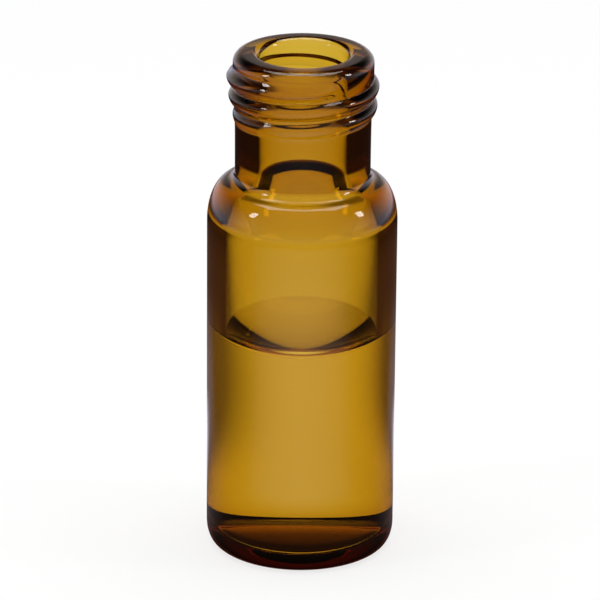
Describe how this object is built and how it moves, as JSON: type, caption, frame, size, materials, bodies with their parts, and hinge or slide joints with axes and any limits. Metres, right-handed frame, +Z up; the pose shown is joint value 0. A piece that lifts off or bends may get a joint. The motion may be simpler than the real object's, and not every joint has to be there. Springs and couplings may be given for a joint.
{
  "type": "glass sample vial",
  "caption": "Amber glass screw-neck sample vial with a rounded shoulder, external thread, fire-rounded lip and a hollow base, part filled with a clear liquid.",
  "frame": {"origin": "centre of the foot, on the plane that the vial stands on", "axes": "+Z up the vial's axis and out of its mouth; +X and +Y across the body"},
  "size_m": [0.0116, 0.0116, 0.032],
  "materials": {
    "amber_glass": "amber borosilicate glass, drawn and flame-formed, smooth and glossy",
    "clear_liquid": "clear colourless liquid"
  },
  "bodies": {
    "root": {"glass_vial": "amber_glass", "sample_liquid": "clear_liquid"}
  },
  "joints": []
}
